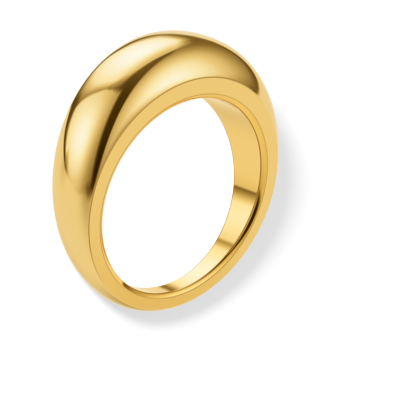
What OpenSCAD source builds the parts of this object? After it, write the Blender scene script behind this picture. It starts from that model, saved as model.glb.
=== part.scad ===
/* [Bore] */
// Diameter of the finger bore
bore_d = 17.3; // [14:0.1:21]
// Depth of the bevel at each end of the bore, square to the side face
bevel_depth = 0.28; // [0.1:0.01:0.4]
// Width of that bevel across the side face
bevel_width = 0.46; // [0.1:0.01:0.8]

/* [Side faces] */
// Width of the ring between its side faces, at the level of the bore axis
mid_width = 4.28; // [4:0.02:6]
// Angle between the two flat side faces, which are furthest apart at the top
wedge_angle = 13.4; // [6:0.1:15]
// Radial width of a side face at the bottom, from the bore to the crease
band_bottom = 1.42; // [1:0.01:2]
// Radial width of a side face at the top, from the bore to the crease
band_top = 1.88; // [1:0.01:3]

/* [Dome] */
// Height of the dome over the creases at the top
rise_top = 3.2; // [1:0.02:4]
// Height of the dome over the creases at the bottom
rise_bottom = 0.36; // [0.1:0.01:1]
// How fast the dome falls away from the top: higher falls faster
fall = 2.66; // [1:0.02:5]
// Fullness of the dome's section at the top: 0 is a plain arc, 1 is flat with steep shoulders
fullness_top = 0.79; // [0:0.01:1]
// Fullness of the dome's section at the bottom
fullness_bottom = 0; // [0:0.01:1]

/* [Mesh] */
// Sections around the ring
sections = 120; // [48:12:144]
// Strips across the dome, from crease to crease
strips = 24; // [8:2:32]

/* [Hidden] */

// The ring lies on its rear side face, with the origin where the bore axis meets
// that face. It is drawn upright first: the bore along Z through the origin, the
// highest point of the dome over +Y, and each side face leaning by half the wedge.
bore_r = bore_d / 2;
lean = wedge_angle / 2;
slope = tan(lean);
crease_r = bore_r + (band_top + band_bottom) / 2;
crease_lift = (band_top - band_bottom) / 2;
// How far a cutting tool runs past the faces that it opens
overrun = 1;
gold = "#E3B44F";

// Half of the ring's width at height y over the bore axis
function half_width(y) = mid_width / 2 + slope * y;

// Radius of the crease at the angle a from +X: a circle lifted a little towards the dome
function crease_radius(a) =
    crease_lift * sin(a) + sqrt(crease_r * crease_r - pow(crease_lift * cos(a), 2));

// How far up the ring the angle a from +X is: 0 at the bottom, 1 at the top
function share_up(a) = (1 + sin(a)) / 2;

// A value that goes evenly from the bottom of the ring to its top
function blend(bottom, top, a) = bottom + (top - bottom) * share_up(a);

// Height of the dome over the creases at the angle a from +X
function rise(a) = rise_bottom + (rise_top - rise_bottom) * pow(share_up(a), fall);

// Share of that height at the share u of the half width: 1 in the middle, 0 at a crease
function section(a, u) =
    let (full = blend(fullness_bottom, fullness_top, a))
    1 - (1 - full) * pow(u, 2) - full * pow(u, 6);

// Share of the half width at strip edge j, closer together towards the creases
function station(j) = sin(75 * (2 * j / strips - 1)) / sin(75);

// Point on the dome at the angle a from +X and strip edge j
function dome_point(a, j) =
    let (u = station(j), edge = crease_radius(a), r = edge + rise(a) * section(a, u))
    [r * cos(a), r * sin(a), u * half_width(edge * sin(a))];

// The same, but the outermost strips run on past their creases as far again
function blank_point(a, j) =
    j == 0 ? 2 * dome_point(a, 0) - dome_point(a, 1) :
    j == strips ? 2 * dome_point(a, strips) - dome_point(a, strips - 1) :
    dome_point(a, j);

// The dome and all that it encloses, before its sides are cut and its bore is made
module dome_blank() {
    rows = strips + 1;
    peak = mid_width / 2 + overrun;
    rear_peak = sections * rows;
    front_peak = rear_peak + 1;
    skin_points = [
        for (i = [0:sections - 1])
            for (j = [0:strips])
                blank_point(360 * i / sections, j)
    ];
    skin = [
        for (i = [0:sections - 1])
            for (j = [0:strips - 1])
                let (here = i * rows + j, next = ((i + 1) % sections) * rows + j)
                each [[here, here + 1, next + 1], [here, next + 1, next]]
    ];
    ends = [
        for (i = [0:sections - 1])
            let (here = i * rows, next = ((i + 1) % sections) * rows)
            each [[here, next, rear_peak], [next + strips, here + strips, front_peak]]
    ];
    polyhedron(concat(skin_points, [[0, 0, -peak], [0, 0, peak]]), concat(skin, ends));
}

// All that lies in front of the front side face
module side_cutter() {
    reach = 2 * crease_r;
    translate([0, 0, mid_width / 2])
        rotate([lean, 0, 0])
            translate([-reach, -reach, 0])
                cube([2 * reach, 2 * reach, reach]);
}

// Cutter for the bevel at the front end of the bore, square to the side face
module bevel_cutter() {
    steepness = bevel_width / bevel_depth;
    mouth_r = bore_r + bevel_width;
    translate([0, 0, mid_width / 2])
        rotate([lean, 0, 0])
            translate([0, 0, -bevel_depth - overrun])
                cylinder(
                    h = bevel_depth + 2 * overrun,
                    r1 = mouth_r - steepness * (bevel_depth + overrun),
                    r2 = mouth_r + steepness * overrun,
                    $fn = 144
                );
}

module ring() {
    bore_length = 2 * half_width(crease_r) + 4 * overrun;
    color(gold)
        rotate([lean, 0, 0])
            translate([0, 0, mid_width / 2])
                difference() {
                    dome_blank();
                    side_cutter();
                    mirror([0, 0, 1]) side_cutter();
                    cylinder(h = bore_length, r = bore_r, center = true, $fn = 144);
                    bevel_cutter();
                    mirror([0, 0, 1]) bevel_cutter();
                }
}

ring();
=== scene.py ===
import math
from functools import partial
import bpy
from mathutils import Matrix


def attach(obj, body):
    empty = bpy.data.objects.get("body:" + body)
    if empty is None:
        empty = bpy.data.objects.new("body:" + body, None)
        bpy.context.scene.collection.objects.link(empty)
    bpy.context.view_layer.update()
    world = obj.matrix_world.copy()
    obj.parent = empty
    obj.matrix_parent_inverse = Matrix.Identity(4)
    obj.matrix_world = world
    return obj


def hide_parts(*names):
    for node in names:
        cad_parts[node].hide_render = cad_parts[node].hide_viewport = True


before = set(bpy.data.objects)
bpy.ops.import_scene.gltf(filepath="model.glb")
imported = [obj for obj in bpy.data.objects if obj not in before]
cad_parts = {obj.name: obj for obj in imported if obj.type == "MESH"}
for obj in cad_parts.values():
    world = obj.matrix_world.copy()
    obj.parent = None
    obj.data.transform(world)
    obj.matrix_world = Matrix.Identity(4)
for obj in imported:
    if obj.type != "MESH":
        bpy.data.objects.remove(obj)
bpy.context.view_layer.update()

from types import SimpleNamespace

import bmesh
import bpy
from bpy.props import FloatProperty, FloatVectorProperty, IntProperty, PointerProperty
from mathutils import Matrix, Vector

bl_info = {
    "name": "Dome ring",
    "version": (1, 0, 0),
    "blender": (4, 5, 0),
    "location": "View3D > Sidebar > Dome ring",
    "description": "A polished gold dome ring, its floor, its studio light and its camera",
    "category": "Add Mesh",
}

MM = 0.001


def linear(hex_colour, alpha=1.0):
    """A colour written as sRGB hex, as the linear values that a shader works in."""
    channels = [int(hex_colour[i:i + 2], 16) / 255 for i in (0, 2, 4)]
    curve = [c / 12.92 if c <= 0.04045 else ((c + 0.055) / 1.055) ** 2.4 for c in channels]
    return (*curve, alpha)


# Sizes and colours that a user would change

class RingSizes(bpy.types.PropertyGroup):
    """Sizes of the ring, the same as the part's own."""

    bore: FloatProperty(
        name="Bore", description="Diameter of the finger bore",
        default=17.3 * MM, unit="LENGTH", precision=5)
    bevel_depth: FloatProperty(
        name="Bevel depth", description="Depth of the bore's bevel, square to the side face",
        default=0.28 * MM, unit="LENGTH", precision=5)
    bevel_width: FloatProperty(
        name="Bevel width", description="Width of the bore's bevel across the side face",
        default=0.46 * MM, unit="LENGTH", precision=5)
    width: FloatProperty(
        name="Width", description="Width between the side faces, at the level of the bore axis",
        default=4.28 * MM, unit="LENGTH", precision=5)
    wedge: FloatProperty(
        name="Wedge", description="Angle between the two side faces",
        default=math.radians(13.4), subtype="ANGLE")
    band_bottom: FloatProperty(
        name="Band, bottom", description="Radial width of a side face at the narrow back",
        default=1.42 * MM, unit="LENGTH", precision=5)
    band_top: FloatProperty(
        name="Band, top", description="Radial width of a side face under the dome",
        default=1.88 * MM, unit="LENGTH", precision=5)
    rise_bottom: FloatProperty(
        name="Rise, bottom", description="Height over the creases at the narrow back",
        default=0.36 * MM, unit="LENGTH", precision=5)
    rise_top: FloatProperty(
        name="Rise, top", description="Height of the dome over the creases",
        default=3.2 * MM, unit="LENGTH", precision=5)
    fall: FloatProperty(
        name="Fall", description="How fast the dome falls away from the top", default=2.66)
    full_bottom: FloatProperty(
        name="Fullness, bottom", description="Fullness of the section at the back: 0 is a plain arc",
        default=0.0)
    full_top: FloatProperty(
        name="Fullness, top", description="Fullness of the section at the top: 1 is flattest",
        default=0.79)
    crease_edge: FloatProperty(
        name="Crease edge", description="How far the rounding of a crease reaches to either side",
        default=0.06 * MM, unit="LENGTH", precision=5)
    bevel_edge: FloatProperty(
        name="Bevel edge", description="How far the rounding of the bevel's outer edge reaches",
        default=0.08 * MM, unit="LENGTH", precision=5)
    lip_edge: FloatProperty(
        name="Lip edge", description="How far the rounding between bevel and bore reaches",
        default=0.12 * MM, unit="LENGTH", precision=5)
    bevel_bulge: FloatProperty(
        name="Bevel bulge", description="How far the bevel bulges towards the corner it takes away",
        default=0.06)
    segments: IntProperty(
        name="Segments", description="Faces around the ring", default=480, min=48)


class RingFinish(bpy.types.PropertyGroup):
    """Colours and polish of the gold."""

    gold: FloatVectorProperty(
        name="Gold", description="Colour of the polished plating", subtype="COLOR", size=4,
        min=0.0, max=1.0, default=linear("F7DA97"))
    gold_deep: FloatVectorProperty(
        name="Deeper gold", description="Colour where the plating is a little thicker",
        subtype="COLOR", size=4, min=0.0, max=1.0, default=linear("F5D792"))
    # Painted reflection: the deeper yellow that stands in for gold-coloured light the ring reflects onto
    # itself
    gold_inner: FloatVectorProperty(
        name="Inner gold", description="Colour of the bevels and, in part, of the bore and side faces",
        subtype="COLOR", size=4, min=0.0, max=1.0, default=linear("FFD67A"))
    # Painted shade: the colour of the thin dark line along the turned edges
    edge: FloatVectorProperty(
        name="Edge line", description="Colour of the thin line along the turned edges",
        subtype="COLOR", size=4, min=0.0, max=1.0, default=linear("966400"))
    edge_line: FloatProperty(
        name="Edge line strength", description="How much of that colour the strongest edge shows",
        default=1.0, min=0.0, max=1.0)
    roughness: FloatProperty(
        name="Roughness", description="Roughness of the mirror polish", default=0.018)


class StudioSettings(bpy.types.PropertyGroup):
    """Floor, light and camera."""

    floor: FloatVectorProperty(
        name="Floor", description="Colour of the plain floor", subtype="COLOR", size=4,
        min=0.0, max=1.0, default=linear("F4F4F4"))
    backdrop: FloatVectorProperty(
        name="Backdrop", description="Colour behind and beyond the floor", subtype="COLOR",
        size=4, min=0.0, max=1.0, default=linear("FFFFFF"))
    # Painted light: the floor itself glows, more in a pool inside the ring that paints out the ring's shade
    # there
    glow: FloatProperty(
        name="Floor light", description="Light that comes through the floor from below", default=0.68)
    pool: FloatProperty(
        name="Pool of light", description="How much stronger that light is inside the ring", default=0.42)
    key: FloatProperty(
        name="Key light", description="Power of the light that casts the soft shadow",
        default=0.8, unit="POWER")
    fill: FloatProperty(
        name="Fill light", description="Strength of the even light from all round", default=0.15)


# Small helpers

# Short words for the kinds of node that the trees use most
KINDS = {
    "math": "ShaderNodeMath",
    "vector": "ShaderNodeVectorMath",
    "mix": "ShaderNodeMix",
    "xyz": "ShaderNodeCombineXYZ",
}


def add(tree, kind, *values, **settings):
    """Adds a node with its settings, links or sets its inputs in order, and returns its first
    output in use. The kind may be followed by the node's operation or data type."""
    kind, _, mode = kind.partition(" ")
    node = tree.nodes.new(KINDS.get(kind, kind))
    if mode:
        setattr(node, "operation" if hasattr(node, "operation") else "data_type", mode)
    for name, value in settings.items():
        setattr(node, name, value)
    for socket, value in zip([s for s in node.inputs if s.enabled], values):
        if isinstance(value, bpy.types.NodeSocket):
            tree.links.new(value, socket)
        elif value is not None:
            socket.default_value = value
    return next(s for s in node.outputs if s.enabled)


def clear_fresh_file():
    """Takes away what a fresh Blender file starts with."""
    for name in ("Cube", "Light", "Camera"):
        thing = bpy.data.objects.get(name)
        if thing is not None:
            bpy.data.objects.remove(thing)


# The ring's Geometry Nodes tree

# Name under which the tree marks the painted shade, a thin dark line along the turned edges, for the
# material: 0 off them, up to 1 on
EDGE_SHADE_MARK = "turned_edge"
# Name under which it marks how much of the painted reflection a surface takes, a deeper yellow that stands
# in for gold-coloured reflections: 0 on the dome, 1 on a bevel
SELF_REFLECTION_MARK = "inner_surface"

# Angles round the ring, in degrees, where the painted marks are strongest. 0 is the ring's right side, 90
# the top of the dome and 270 the narrow back.
CREASE_SIDE = 125
MOUTH_SIDE = 145
LIP_SIDE = -5
LOW_RIGHT = -55
BACK = 250
# Strength of the painted dark line on the crease
CREASE_LINE = 0.75
# Strength of the painted dark line on the bevel's outer edge: all round, and more on the left shoulder and
# at the lower right
MOUTH_LINE = 0.35
MOUTH_LEFT = 0.35
MOUTH_LOW_RIGHT = 0.4
# Strength of the painted dark line on the bore's lip: all round, and more on the right
LIP_LINE = 0.05
LIP_RIGHT = 0.85
# The side faces' painted dark line and painted deeper yellow round the narrow back, and their painted
# deeper yellow elsewhere
BACK_LINE = 0.16
BACK_INNER = 0.5
FACE_INNER = 0.25
# A painted line is a sine cut off at 1: how high the sine would rise
LINE_RISE = 1.6
# Power that moves a bevel's painted line to the outer end of its rounded edge
LINE_SHIFT = 2.5
# The dome's rows of faces crowd towards the crease as a sine does up to this angle, in degrees.
DOME_SPREAD = 75
# The dome's section falls as the square of the way out where it is a plain arc, and as this
# power where it is fullest.
FULL_POWER = 6.0
# Points closer than this are welded: far less than any face is wide
WELD_DISTANCE = 0.0004 * MM


def ring_values(sizes):
    """The tree's input values, worked out from the sizes."""
    bore_radius = sizes.bore / 2
    values = {
        "bore_radius": bore_radius,
        "half_width": sizes.width / 2,
        "lean": sizes.wedge / 2,
        "crease_radius": bore_radius + (sizes.band_top + sizes.band_bottom) / 2,
        "crease_lift": (sizes.band_top - sizes.band_bottom) / 2,
    }
    for name in ("bevel_depth", "bevel_width", "bevel_bulge", "rise_bottom", "rise_top", "fall",
                 "full_bottom", "full_top", "crease_edge", "bevel_edge", "lip_edge", "segments"):
        values[name] = getattr(sizes, name)
    return values


def input_name(key):
    """Name of the tree's input for that value."""
    return key.replace("_", " ").title()


def round_the_ring(node, given):
    """Where a point of a strip's grid lies round the ring and across the strip, and the
    ring's sizes there. The grid's X runs once round the ring and its Y across the strip."""
    place = node("ShaderNodeSeparateXYZ", node("GeometryNodeInputPosition")).node.outputs
    angle = node("math MULTIPLY", node("math ADD", place["X"], 0.5), math.tau)
    across = node("math ADD", place["Y"], 0.5)
    level = node("math COSINE", node("math MULTIPLY", across, math.pi))
    cos, sin = node("math COSINE", angle), node("math SINE", angle)
    up = node("math DIVIDE", node("math ADD", sin, 1.0), 2.0)

    # The crease is a circle lifted a little towards the dome.
    sideways = node("math MULTIPLY", given["crease_lift"], cos)
    reach = node("math SUBTRACT", node("math POWER", given["crease_radius"], 2.0),
                 node("math POWER", sideways, 2.0))
    crease_r = node("math MULTIPLY_ADD", given["crease_lift"], sin, node("math SQRT", reach))
    half = node("math MULTIPLY_ADD", node("math TANGENT", given["lean"]),
                node("math MULTIPLY", crease_r, sin), given["half_width"])
    more_rise = node("math SUBTRACT", given["rise_top"], given["rise_bottom"])
    rise = node("math MULTIPLY_ADD", more_rise, node("math POWER", up, given["fall"]), given["rise_bottom"])
    more_full = node("math SUBTRACT", given["full_top"], given["full_bottom"])
    full = node("math MULTIPLY_ADD", more_full, up, given["full_bottom"])
    crease = node("xyz", node("math MULTIPLY", crease_r, cos), node("math MULTIPLY", crease_r, sin), half)
    return SimpleNamespace(
        angle=angle, cos=cos, sin=sin, across=across,
        eased=node("math DIVIDE", node("math SUBTRACT", 1.0, level), 2.0),
        crease=crease, crease_r=crease_r, half=half, rise=rise, full=full)


def dome_point(node, at, share):
    """Point on the dome at that share of the half width."""
    flat = node("math MULTIPLY", node("math SUBTRACT", 1.0, at.full), node("math MULTIPLY", share, share))
    lost = node("math MULTIPLY_ADD", at.full, node("math POWER", share, FULL_POWER), flat)
    radius = node("math MULTIPLY_ADD", at.rise, node("math SUBTRACT", 1.0, lost), at.crease_r)
    return node("xyz", node("math MULTIPLY", radius, at.cos), node("math MULTIPLY", radius, at.sin),
                node("math MULTIPLY", share, at.half))


def dome_end(node, given, at):
    """Share of the half width at which the crease's rounding begins."""
    drop = node("math MULTIPLY", at.rise, node("math MULTIPLY_ADD", at.full, FULL_POWER - 2.0, 2.0))
    run = node("math SQRT", node("math ADD", node("math MULTIPLY", drop, drop),
                                 node("math MULTIPLY", at.half, at.half)))
    return node("math SUBTRACT", 1.0, node("math DIVIDE", given["crease_edge"], run))


def bevel_points(node, given, at):
    """The bevel's mouth, a circle in the side face, its lip on the bore's wall, the middle of
    the bevel, which bulges a little towards the corner that it takes away, and the middle of
    the bore."""
    cos_lean, sin_lean = node("math COSINE", given["lean"]), node("math SINE", given["lean"])
    middle = node("xyz", 0.0, 0.0, given["half_width"])
    outwards = node("xyz", at.cos, node("math MULTIPLY", at.sin, cos_lean),
                    node("math MULTIPLY", at.sin, sin_lean))
    mouth_r = node("math ADD", given["bore_radius"], given["bevel_width"])
    mouth = node("vector ADD", middle, node("vector SCALE", outwards, mouth_r))
    square = node("xyz", 0.0, node("math MULTIPLY", sin_lean, -1.0), cos_lean)
    slant = node("vector ADD", node("vector SCALE", outwards, given["bevel_width"]),
                 node("vector SCALE", square, given["bevel_depth"]))
    inwards = node("vector SCALE", slant, -1.0)

    # A line of the bevel meets the bore's wall where a square equation in its length says.
    flat = (1.0, 1.0, 0.0)
    start, step = node("vector MULTIPLY", mouth, flat), node("vector MULTIPLY", inwards, flat)
    a = node("vector DOT_PRODUCT", step, step)
    b = node("math MULTIPLY", node("vector DOT_PRODUCT", start, step), 2.0)
    c = node("math SUBTRACT", node("vector DOT_PRODUCT", start, start),
             node("math POWER", given["bore_radius"], 2.0))
    four_ac = node("math MULTIPLY", node("math MULTIPLY", a, c), 4.0)
    root = node("math SQRT", node("math SUBTRACT", node("math MULTIPLY", b, b), four_ac))
    length = node("math DIVIDE", node("math MULTIPLY", node("math ADD", b, root), -1.0),
                  node("math MULTIPLY", a, 2.0))
    lip = node("vector ADD", mouth, node("vector SCALE", inwards, length))

    lip_at = node("ShaderNodeSeparateXYZ", lip).node.outputs
    corner = node("vector ADD", middle, node("vector SCALE", outwards, given["bore_radius"]))
    bulge = node("mix VECTOR", given["bevel_bulge"], node("mix VECTOR", 0.5, mouth, lip), corner)
    return mouth, bulge, lip, node("xyz", lip_at["X"], lip_at["Y"], 0.0)


def edge_marks(node, at):
    """The marks of painted shade and painted reflection. The crease has its painted dark line on the left
    shoulder of the dome. The bevel's two painted dark lines lie at the outer ends of its rounded edges.
    Round the narrow back the side faces are painted a little darker and take more of the painted deeper
    yellow."""

    def line(share, strength):
        """Mark of that strength round where the share is a half."""
        bump = node("math MULTIPLY", node("math SINE", node("math MULTIPLY", share, math.pi)), LINE_RISE)
        return node("math MULTIPLY", node("math MINIMUM", bump, 1.0), strength)

    def facing(degrees):
        """1 on the side of the ring at that angle, 0 from a quarter turn away."""
        turned = node("math SUBTRACT", at.angle, math.radians(degrees))
        return node("math MAXIMUM", node("math COSINE", turned), 0.0)

    def broad(degrees):
        """1 for a third of the ring round that angle, 0 from a quarter turn away."""
        return node("math MINIMUM", node("math MULTIPLY", facing(degrees), 2.0), 1.0)

    back = node("math POWER", facing(BACK), 2.0)
    low_right = node("math POWER", facing(LOW_RIGHT), 3.0)
    mouth = node("math MULTIPLY_ADD", low_right, MOUTH_LOW_RIGHT, MOUTH_LINE)
    mouth = node("math ADD", mouth, node("math MULTIPLY", facing(MOUTH_SIDE), MOUTH_LEFT))
    lip = node("math MULTIPLY_ADD", broad(LIP_SIDE), LIP_RIGHT, LIP_LINE)
    from_mouth = node("math POWER", node("math SUBTRACT", 1.0, at.across), LINE_SHIFT)
    return SimpleNamespace(
        crease=line(at.across, node("math MULTIPLY", broad(CREASE_SIDE), CREASE_LINE)),
        face=node("math MULTIPLY", back, BACK_LINE),
        face_inner=node("math MULTIPLY_ADD", back, BACK_INNER, FACE_INNER),
        mouth=line(from_mouth, mouth),
        lip=line(node("math POWER", at.across, LINE_SHIFT), lip))


def half_ring(tree, given, at):
    """The strips of the ring's front half, joined."""
    node = partial(add, tree)

    def towards(a, b, distance):
        """Point at that distance from a on the way to b."""
        way = node("vector NORMALIZE", node("vector SUBTRACT", b, a))
        return node("vector ADD", a, node("vector SCALE", way, distance))

    def bend(a, corner, b):
        """Rounded corner from a to b."""
        return node("mix VECTOR", at.across, node("mix VECTOR", at.across, a, corner),
                    node("mix VECTOR", at.across, corner, b))

    spread = math.radians(DOME_SPREAD)
    crowded = node("math SINE", node("math MULTIPLY", at.across, spread))
    share = node("math DIVIDE", crowded, math.sin(spread))
    end = dome_end(node, given, at)
    mouth, bulge, lip, bore_middle = bevel_points(node, given, at)
    crease_in = towards(at.crease, mouth, given["crease_edge"])
    mouth_out = towards(mouth, at.crease, given["bevel_edge"])
    mouth_in = towards(mouth, bulge, given["bevel_edge"])
    lip_out = towards(lip, bulge, given["lip_edge"])
    lip_in = towards(lip, bore_middle, given["lip_edge"])
    marks = edge_marks(node, at)
    # Faces across each strip, its share of the painted dark line on a turned edge, its share of the painted
    # deeper yellow where the gold mirrors itself, and where it lies
    strips = (
        (44, 0.0, 0.0, dome_point(node, at, node("math MULTIPLY", share, end))),
        (6, marks.crease, 0.2, bend(dome_point(node, at, end), at.crease, crease_in)),
        (8, marks.face, marks.face_inner, node("mix VECTOR", at.eased, crease_in, mouth_out)),
        (10, marks.mouth, 0.7, bend(mouth_out, mouth, mouth_in)),
        (8, 0.0, 1.0, bend(mouth_in, bulge, lip_out)),
        (10, marks.lip, 0.8, bend(lip_out, lip, lip_in)),
        (8, 0.0, 0.5, node("mix VECTOR", at.eased, lip_in, bore_middle)),
    )
    around = node("math ADD", given["segments"], 1.0)
    joined = node("GeometryNodeJoinGeometry")
    for faces, turned, inner, position in strips:
        strip = node("GeometryNodeMeshGrid", 1.0, 1.0, around, faces + 1)
        for name, mark in ((EDGE_SHADE_MARK, turned), (SELF_REFLECTION_MARK, inner)):
            strip = node("GeometryNodeStoreNamedAttribute FLOAT", strip, None, name, mark, domain="POINT")
        laid = node("GeometryNodeSetPosition", strip, None, position)
        tree.links.new(laid, joined.node.inputs[0])
    return joined


def ring_tree(values, material):
    """Builds the tree: strips of a grid, each laid along one part of the ring's section, from
    the middle of the dome over the crease, the side face and the bevel into the bore. The
    other half is their mirror image."""
    tree = bpy.data.node_groups.new("Ring", "GeometryNodeTree")
    for key, value in values.items():
        kind = "NodeSocketInt" if isinstance(value, int) else "NodeSocketFloat"
        tree.interface.new_socket(input_name(key), in_out="INPUT", socket_type=kind)
    tree.interface.new_socket("Geometry", in_out="OUTPUT", socket_type="NodeSocketGeometry")
    inputs = tree.nodes.new("NodeGroupInput").outputs
    given = {key: inputs[input_name(key)] for key in values}
    node = partial(add, tree)

    half = half_ring(tree, given, round_the_ring(node, given))
    mirrored = node("GeometryNodeTransform", half)
    mirrored.node.inputs["Scale"].default_value = (1.0, 1.0, -1.0)
    whole = node("GeometryNodeJoinGeometry")
    for part in (half, node("GeometryNodeFlipFaces", mirrored)):
        tree.links.new(part, whole.node.inputs[0])
    welded = node("GeometryNodeMergeByDistance", whole)
    welded.node.inputs["Distance"].default_value = WELD_DISTANCE

    # The ring lies on its rear side face.
    raised = node("GeometryNodeTransform", welded)
    tree.links.new(node("xyz", 0.0, 0.0, given["half_width"]), raised.node.inputs["Translation"])
    laid_down = node("GeometryNodeTransform", raised)
    tree.links.new(node("xyz", given["lean"], 0.0, 0.0), laid_down.node.inputs["Rotation"])
    real = node("GeometryNodeRealizeInstances", node("GeometryNodeSetShadeSmooth", laid_down))
    coated = node("GeometryNodeSetMaterial", real)
    coated.node.inputs["Material"].default_value = material
    tree.links.new(coated, tree.nodes.new("NodeGroupOutput").inputs[0])
    return tree


def plain_mesh(maker, name):
    """The evaluated object's mesh as an object of its own, with its faces turned outwards."""
    depsgraph = bpy.context.evaluated_depsgraph_get()
    mesh = bpy.data.meshes.new_from_object(maker.evaluated_get(depsgraph))
    mesh.name = name
    shape = bmesh.new()
    shape.from_mesh(mesh)
    bmesh.ops.recalc_face_normals(shape, faces=shape.faces)
    if shape.calc_volume(signed=True) < 0:
        bmesh.ops.reverse_faces(shape, faces=shape.faces)
    shape.to_mesh(mesh)
    shape.free()
    piece = bpy.data.objects.new(name, mesh)
    bpy.context.scene.collection.objects.link(piece)
    return piece


# Materials

# Sizes of the gold's patterns: the drift in the plating's thickness, the patches of haze,
# which are about 0.7 mm, and the buffing wheel's waves with their height
DRIFT_SIZE = 4 * MM
HAZE_SIZE = MM / 1.4
WAVE_SIZE = 2 * MM
WAVE_HEIGHT = 0.01 * MM
WAVE_STRENGTH = 0.05
# Least and most of the roughness in the haze, as shares of the roughness given
HAZE_RANGE = (0.7, 1.5)
# The floor's painted glow fades from its pool to the rest between these two radii, from the edge of the
# bore to under the band.
POOL_EDGE = (8.6 * MM, 10.4 * MM)


def polished_gold(finish):
    """Gold plating over brass, buffed to a mirror: crisp reflections, a breath of haze that
    comes and goes, and the faint long waves that a buffing wheel leaves."""
    material = bpy.data.materials.new("Polished gold plating")
    material.use_nodes = True
    tree = material.node_tree
    node = partial(add, tree)
    shader = tree.nodes["Principled BSDF"]
    place = node("ShaderNodeTexCoord").node.outputs["Object"]
    # The plating's thickness drifts, and its colour with it. Each noise is given its scale, its
    # detail and its roughness.
    drift = node("ShaderNodeTexNoise", place, None, 1 / DRIFT_SIZE, 2.0, 0.5)
    tint = node("mix RGBA", drift, tuple(finish.gold), tuple(finish.gold_deep))
    # Painted reflection: the surfaces that face the finger are a deeper yellow, which stands in for
    # gold-coloured light that the ring reflects onto itself.
    inner = node("ShaderNodeAttribute", attribute_name=SELF_REFLECTION_MARK).node.outputs["Fac"]
    tint = node("mix RGBA", inner, tint, tuple(finish.gold_inner))
    # Painted shade: a thin darker line along the turned edges, where they would mirror dark parts of the
    # studio.
    mark = node("ShaderNodeAttribute", attribute_name=EDGE_SHADE_MARK).node.outputs["Fac"]
    line = node("math MULTIPLY", mark, finish.edge_line)
    tree.links.new(node("mix RGBA", line, tint, tuple(finish.edge)), shader.inputs["Base Color"])
    # The haze comes and goes in patches. The noise stays mostly between 0.3 and 0.7.
    patches = node("ShaderNodeTexNoise", place, None, 1 / HAZE_SIZE, 3.0, 0.6)
    least, most = (finish.roughness * share for share in HAZE_RANGE)
    haze = node("ShaderNodeMapRange", patches, 0.3, 0.7, least, most)
    tree.links.new(haze, shader.inputs["Roughness"])
    # The buffing wheel's waves are far too low to see but in reflections.
    waves = node("ShaderNodeTexNoise", place, None, 1 / WAVE_SIZE, 1.0, 0.4)
    bump = node("ShaderNodeBump", WAVE_STRENGTH, WAVE_HEIGHT)
    tree.links.new(waves, bump.node.inputs["Height"])
    tree.links.new(bump, shader.inputs["Normal"])
    shader.inputs["Metallic"].default_value = 1.0
    return material


def plain_floor(studio):
    """Matt white floor that glows with painted light of its own: no gloss, and only pale soft shadows on
    it.
    """
    material = bpy.data.materials.new("Matt white glowing floor")
    material.use_nodes = True
    tree = material.node_tree
    node = partial(add, tree)
    shader = tree.nodes["Principled BSDF"]
    shader.inputs["Base Color"].default_value = tuple(studio.floor)
    shader.inputs["Roughness"].default_value = 1.0
    shader.inputs["Specular IOR Level"].default_value = 0.0
    shader.inputs["Emission Color"].default_value = tuple(studio.floor)
    # The painted glow is strongest in a pool as wide as the ring's opening, which paints out the ring's
    # shade there.
    away = node("vector LENGTH", node("ShaderNodeTexCoord").node.outputs["Object"])
    lamp = node("ShaderNodeMapRange", away, *POOL_EDGE, studio.glow + studio.pool, studio.glow,
                interpolation_type="SMOOTHSTEP")
    tree.links.new(lamp, shader.inputs["Emission Strength"])
    return material


# Studio

# The camera in the upright ring's own axes: X to its right, Y to the top of the dome and Z
# along the bore. It looks at a point near the ring's middle from the left, from above and in
# front, and is rolled a little. Lengths are in mm and angles in degrees.
CAMERA_TARGET = Vector((1.75, -0.86, 1.87))
CAMERA_DISTANCE = 203.5
CAMERA_AZIMUTH = -39.2
CAMERA_ELEVATION = 21.7
CAMERA_ROLL = -3.4
LENS_MM = 217.9
SENSOR_MM = 36.0
# The lens axis passes half a pixel right of and below the middle of the 400 pixels.
SHIFT = 0.5 / 400
# Nearest and farthest that the camera sees, in metres
CLIP = (0.01, 5.0)
# Half the floor's side, and the width and place of the lamp that casts the shadow, in metres
FLOOR_HALF = 1.2
LAMP_WIDTH = 0.09
LAMP_PLACE = (-0.18, 0.2, 0.15)

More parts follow.
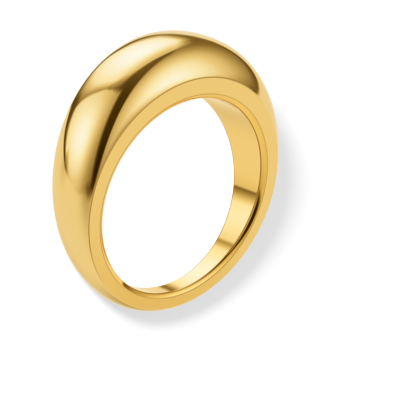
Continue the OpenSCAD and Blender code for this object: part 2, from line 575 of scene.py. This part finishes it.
# The studio round the upright ring as its polish mirrors it. Azimuth 0 is the camera's side
# and grows to the right, elevation grows towards the top of the dome, both in degrees. Each
# edge is a curve of elevation by azimuth: the lower edge of the large softbox overhead, the
# upper edges of the softboxes on the left and the right, and the far edge of the white sweep.
# The gap is how far above the sweep the boxes begin. A fade is the half width, in degrees, over
# which its edge softens, and gap_light is how bright the gap is at the horizon, in percent.
EDGES = {
    "overhead": ((-180, 18), (-166, 20), (-155, 10), (-145, 15), (-136, 20), (-127, 27),
                 (-119, 39), (-107, 53), (-90, 65), (-60, 74), (15, 70), (40, 67), (65, 61),
                 (90, 51), (145, 43), (160, 34), (180, 18)),
    "left": ((-180, -30), (-130, -20), (-125, 20), (-122, 29), (-113, 43.5), (-102, 54.5),
             (-87, 60), (-60, 65), (-30, 64), (-10, 60), (5, 54), (18, 48), (30, 32), (60, -30),
             (180, -30)),
    "right": ((-180, -30), (10, -30), (22, -15), (28, -8), (32, 1), (38, 18), (45, 29),
              (55, 37), (68, 42), (85, 45), (110, 56), (180, 60)),
    "sweep": ((-180, 13), (-168, 11), (-163, -1), (-157, -3), (-143, 4.5), (-130, 7.5),
              (-118, 6.5), (-110, 4.5), (-103, 2), (-97, -0.5), (-75, -3), (-45, -7), (-15, -9),
              (15, -16), (60, -3.5), (100, -11), (120, -6.5), (135, 0), (147, 16.5),
              (160, 17), (170, 14), (180, 13)),
    "gap": ((-180, 2), (-150, 1.5), (-130, 12), (-117, 6), (-105, 3.5), (-97, 3), (-86, -2.5),
            (-75, -4.5), (-45, -2.5), (-15, -2), (10, 2.5), (25, -2.5), (45, 0), (80, 0.5),
            (100, 2.5), (115, 3.5), (125, 6.5), (135, 20), (147, 8.5), (160, 4.5), (180, 2)),
    "overhead_fade": ((-180, 9), (-166, 7), (-146, 12), (-122, 16), (-105, 12), (0, 12),
                      (45, 6.5), (85, 3.5), (140, 9), (180, 9)),
    "left_fade": ((-180, 5), (-126, 6), (-112, 3), (-60, 1.5), (0, 4.5), (30, 3), (180, 5)),
    "sweep_fade": ((-180, 4), (-165, 2), (-110, 1), (-95, 1.5), (-75, 3.5), (-45, 5.5),
                   (30, 3.5), (60, 1), (90, 1), (150, 2.5), (180, 4)),
    "gap_fade": ((-180, 4), (-120, 5), (-112, 3), (-104, 2), (-97, 10), (-86, 6), (-60, 4.5),
                 (0, 6), (90, 8), (180, 4)),
    "gap_light": ((-180, 28), (-165, 15), (-150, 20), (-120, 22), (-98, 14), (-85, 28),
                  (-50, 23), (-10, 13), (20, 12), (50, 18), (90, 20), (120, 26), (150, 34),
                  (165, 38), (180, 28)),
}
# Least and greatest value that the curves of these edges can hold
LOWEST, HIGHEST = -30, 90
# Half width of the other edges' fades, in degrees. The left box ends on its right side at an
# azimuth of its own.
FADES = {"left_side": 6.5, "right": 4.5}
LEFT_SIDE = 14
# Brightness of each: at its dimmest, added at its hot spot, the hot spot's azimuth and
# elevation, and its radius. The four under SWEEP_SHADES are dark spots on the sweep: the ring's
# own shade under it, to the right of it and behind it, and a spot far left at the horizon, where
# the sweep meets the wall. The slot is the gap's darkest spot.
GLOWS = {
    "overhead": (0.54, 0.46, -166, 51, 40),
    "left": (0, 0.98, -78, 25, 72),
    "right": (0.34, 0.64, 68, 0, 27),
    "sweep": (0.815, -0.31, 3, 3, 22),
    "under": (0, -0.22, 180, -68, 14),
    "shade": (0, -0.07, 50, -42, 14),
    "back": (0, -0.05, -146, -38, 11),
    "wall": (0, -0.1, -102, 0, 5),
    "slot": (0, -0.04, 25, -5, 7),
}
SWEEP_SHADES = ("under", "shade", "back", "wall")
# How much the gap brightens from the horizon to the zenith
GAP_RISE = 0.2
# The left box is brightest in a level band: the band's middle and half width, as shares of up
BAND = (0.4, 1.2)

# What the gold shows for each brightness of the studio, from a dark gap to a hot spot. The
# world's light is these shades divided by the gold's own colour.
SHADES = (
    (0.0, "0A0200"), (0.2, "4A3006"), (0.4, "866428"), (0.6, "BC984C"), (0.8, "ECC97A"),
    (0.92, "FCE9AF"), (1.0, "FFFAE6"),
)
# A colour ramp ends at 1, so it holds the light divided by this.
BRIGHTEST = 5.0


def camera_axes():
    """Right, up and back of the camera, in the upright ring's axes."""
    azimuth, elevation = math.radians(CAMERA_AZIMUTH), math.radians(CAMERA_ELEVATION)
    level_back = Vector((math.sin(azimuth), 0, math.cos(azimuth)))
    back = math.cos(elevation) * level_back + math.sin(elevation) * Vector((0, 1, 0))
    level_right = Vector((math.cos(azimuth), 0, -math.sin(azimuth)))
    right = Matrix.Rotation(math.radians(CAMERA_ROLL), 3, back) @ level_right
    return right, back.cross(right), back


def camera_place():
    """Where the camera stands, in the upright ring's axes, in mm."""
    return CAMERA_TARGET + CAMERA_DISTANCE * camera_axes()[2]


def lay_down():
    """The turn from the upright ring's axes to those of the ring that lies on its side face."""
    return Matrix.Rotation(bpy.context.scene.ring_sizes.wedge / 2, 3, "X")


def studio_axes():
    """Right, up and front of the studio in the row frame, as the upright ring has them."""
    turn = lay_down()
    up = Vector((0, 1, 0))
    place = camera_place()
    front = (place - up * place.dot(up)).normalized()
    right = up.cross(front)
    return turn @ right, turn @ up, turn @ front


def aim(azimuth, elevation):
    """Direction to that azimuth and elevation of the studio, in the row frame."""
    right, up, front = studio_axes()
    a, e = math.radians(azimuth), math.radians(elevation)
    return math.cos(e) * (math.sin(a) * right + math.cos(a) * front) + math.sin(e) * up


def studio_world(studio, finish):
    """World light. The polish mirrors softboxes with dark gaps between them, matt surfaces
    get an even fill, and the camera sees a plain backdrop."""
    world = bpy.data.worlds.new("Studio")
    world.use_nodes = True
    bpy.context.scene.world = world
    tree = world.node_tree
    node = partial(add, tree)
    towards = node("ShaderNodeTexCoord").node.outputs["Generated"]
    right, up, front = (node("vector DOT_PRODUCT", towards, tuple(axis)) for axis in studio_axes())
    azimuth = node("math MULTIPLY", node("math ARCTAN2", right, front), math.degrees(1))
    elevation = node("math MULTIPLY", node("math ARCSINE", up), math.degrees(1))
    turn = node("math MULTIPLY_ADD", azimuth, 1 / 360, 0.5)

    def over(below, above, share):
        """What lies below, covered with what is above by that share."""
        return node("math MULTIPLY_ADD", node("math SUBTRACT", above, below), share, below)

    def edge(name):
        """Elevation of that edge, or its other measure, at the azimuth looked at."""
        curve = node("ShaderNodeFloatCurve", 1.0, turn).node
        points = curve.mapping.curves[0].points
        while len(points) < len(EDGES[name]):
            points.new(0.5, 0.5)
        for point, (x, y) in zip(points, EDGES[name]):
            point.location = (x / 360 + 0.5, (y - LOWEST) / (HIGHEST - LOWEST))
            point.handle_type = "AUTO_CLAMPED"
        curve.mapping.update()
        return node("math MULTIPLY_ADD", curve.outputs[0], HIGHEST - LOWEST, LOWEST)

    def inside(high, low, fade):
        """1 where high is well over low, 0 where it is well under it."""
        distance = node("math DIVIDE", node("math SUBTRACT", high, low), fade)
        return node("ShaderNodeMapRange", distance, -1.0, 1.0, 0.0, 1.0, interpolation_type="SMOOTHSTEP")

    def glow(name):
        """Brightness of that surface, with its hot or dark spot."""
        dim, more, spot_azimuth, spot_elevation, radius = GLOWS[name]
        spot = node("vector DOT_PRODUCT", towards, tuple(aim(spot_azimuth, spot_elevation)))
        far = node("math DIVIDE", node("math SUBTRACT", spot, 1.0), math.radians(radius) ** 2)
        return node("math MULTIPLY_ADD", node("math EXPONENT", far), more, dim)

    # From the gap upwards each softbox covers what is behind it, and the sweep covers all.
    sweep = edge("sweep")
    above = inside(elevation, node("math ADD", sweep, edge("gap")), edge("gap_fade"))
    gap = node("math ADD", node("math DIVIDE", edge("gap_light"), 100.0), glow("slot"))
    light = node("math MULTIPLY_ADD", elevation, GAP_RISE / 90, gap)
    share = node("math MULTIPLY", above, inside(edge("right"), elevation, FADES["right"]))
    light = over(light, glow("right"), share)
    off = node("math DIVIDE", node("math SUBTRACT", up, BAND[0]), BAND[1])
    band = node("math EXPONENT", node("math MULTIPLY", node("math MULTIPLY", off, off), -1.0))
    share = node("math MULTIPLY", above, inside(edge("left"), elevation, edge("left_fade")))
    share = node("math MULTIPLY", share, inside(LEFT_SIDE, azimuth, FADES["left_side"]))
    light = over(light, node("math MULTIPLY", glow("left"), band), share)
    share = node("math MULTIPLY", above, inside(elevation, edge("overhead"), edge("overhead_fade")))
    light = over(light, glow("overhead"), share)
    floor = glow("sweep")
    for name in SWEEP_SHADES:
        floor = node("math ADD", floor, glow(name))
    light = over(light, floor, inside(sweep, elevation, edge("sweep_fade")))

    ramp = node("ShaderNodeValToRGB", light)
    stops = ramp.node.color_ramp.elements
    gold = tuple(finish.gold)[:3]
    while len(stops) < len(SHADES):
        stops.new(0.5)
    for stop, (where, shade) in zip(stops, SHADES):
        stop.position = where
        stop.color = (*[shown / own / BRIGHTEST for shown, own in zip(linear(shade), gold)], 1.0)
    mirrored = node("vector MULTIPLY", ramp, (BRIGHTEST,) * 3)

    path = node("ShaderNodeLightPath").node.outputs
    lit = node("mix RGBA", path["Is Glossy Ray"], (studio.fill,) * 3 + (1.0,), mirrored)
    seen = node("mix RGBA", path["Is Camera Ray"], lit, tuple(studio.backdrop))
    tree.links.new(seen, tree.nodes["Background"].inputs["Color"])
    return world


def lay_floor(scene):
    """A plain square floor under the ring."""
    corners = [(x * FLOOR_HALF, y * FLOOR_HALF, 0) for x, y in ((-1, -1), (1, -1), (1, 1), (-1, 1))]
    mesh = bpy.data.meshes.new("floor")
    mesh.from_pydata(corners, [], [(0, 1, 2, 3)])
    mesh.materials.append(plain_floor(scene.ring_studio))
    floor = bpy.data.objects.new("floor", mesh)
    scene.collection.objects.link(floor)
    # The polish mirrors the studio alone, as in the photograph.
    floor.visible_glossy = False


def hang_lamp(scene):
    """The lamp that casts the soft shadow, aimed at the ring."""
    lamp = bpy.data.lights.new("key", "AREA")
    lamp.shape = "DISK"
    lamp.size = LAMP_WIDTH
    lamp.energy = scene.ring_studio.key
    key = bpy.data.objects.new("key", lamp)
    key.location = Vector(LAMP_PLACE)
    key.rotation_mode = "QUATERNION"
    key.rotation_quaternion = key.location.to_track_quat("Z", "Y")
    key.visible_glossy = False
    scene.collection.objects.link(key)


def place_camera(scene):
    """The camera at the photograph's angle to the ring."""
    lens = bpy.data.cameras.new("camera")
    lens.sensor_width = SENSOR_MM
    lens.lens = LENS_MM
    lens.shift_x, lens.shift_y = -SHIFT, SHIFT
    lens.clip_start, lens.clip_end = CLIP
    camera = bpy.data.objects.new("camera", lens)
    turn = lay_down()
    lift = Vector((0, 0, scene.ring_sizes.width / MM / 2))
    place = turn @ ((camera_place() + lift) * MM)
    axes = Matrix([turn @ axis for axis in camera_axes()]).transposed()
    camera.matrix_world = Matrix.Translation(place) @ axes.to_4x4()
    scene.collection.objects.link(camera)
    scene.camera = camera


# Operators

class RING_OT_piece(bpy.types.Operator):
    """Build the ring"""

    bl_idname = "ring.piece"
    bl_label = "Build the ring"

    def execute(self, context):
        scene = context.scene
        material = polished_gold(scene.ring_finish)
        maker = bpy.data.objects.new("ring_maker", bpy.data.meshes.new("ring_maker"))
        scene.collection.objects.link(maker)
        values = ring_values(scene.ring_sizes)
        tree = ring_tree(values, material)
        modifier = maker.modifiers.new("Ring", "NODES")
        modifier.node_group = tree
        sockets = {s.name: s.identifier for s in tree.interface.items_tree if s.in_out == "INPUT"}
        for key, value in values.items():
            modifier[sockets[input_name(key)]] = value
        piece = plain_mesh(maker, "dome_ring")
        maker.modifiers.remove(modifier)
        bpy.data.objects.remove(maker)
        if len(piece.data.polygons) == 0:
            raise RuntimeError("the ring's tree made no faces")
        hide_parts("ring")
        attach(piece, "root")
        return {"FINISHED"}


class RING_OT_studio(bpy.types.Operator):
    """Lay the floor, light the studio and place the camera"""

    bl_idname = "ring.studio"
    bl_label = "Set up the studio"

    def execute(self, context):
        scene = context.scene
        lay_floor(scene)
        studio_world(scene.ring_studio, scene.ring_finish)
        hang_lamp(scene)
        place_camera(scene)
        scene.view_settings.view_transform = "Standard"
        scene.cycles.caustics_reflective = False
        return {"FINISHED"}


class RING_PT_panel(bpy.types.Panel):
    """Sizes, finish and studio of the ring"""

    bl_idname = "RING_PT_panel"
    bl_label = "Dome ring"
    bl_space_type = "VIEW_3D"
    bl_region_type = "UI"
    bl_category = "Dome ring"

    def draw(self, context):
        for title, group, operator in PANEL_ROWS:
            box = self.layout.box()
            box.label(text=title)
            settings = getattr(context.scene, group)
            for name in settings.bl_rna.properties.keys():
                if name not in ("rna_type", "name"):
                    box.prop(settings, name)
            if operator:
                box.operator(operator)


PANEL_ROWS = (
    ("Sizes", "ring_sizes", ""),
    ("Finish", "ring_finish", "ring.piece"),
    ("Studio", "ring_studio", "ring.studio"),
)
CLASSES = (RingSizes, RingFinish, StudioSettings, RING_OT_piece, RING_OT_studio, RING_PT_panel)


def register():
    for cls in CLASSES:
        bpy.utils.register_class(cls)
    bpy.types.Scene.ring_sizes = PointerProperty(type=RingSizes)
    bpy.types.Scene.ring_finish = PointerProperty(type=RingFinish)
    bpy.types.Scene.ring_studio = PointerProperty(type=StudioSettings)


def unregister():
    del bpy.types.Scene.ring_studio
    del bpy.types.Scene.ring_finish
    del bpy.types.Scene.ring_sizes
    for cls in reversed(CLASSES):
        bpy.utils.unregister_class(cls)


def main():
    register()
    clear_fresh_file()
    bpy.ops.ring.piece()
    bpy.ops.ring.studio()


if __name__ == "__main__":
    main()
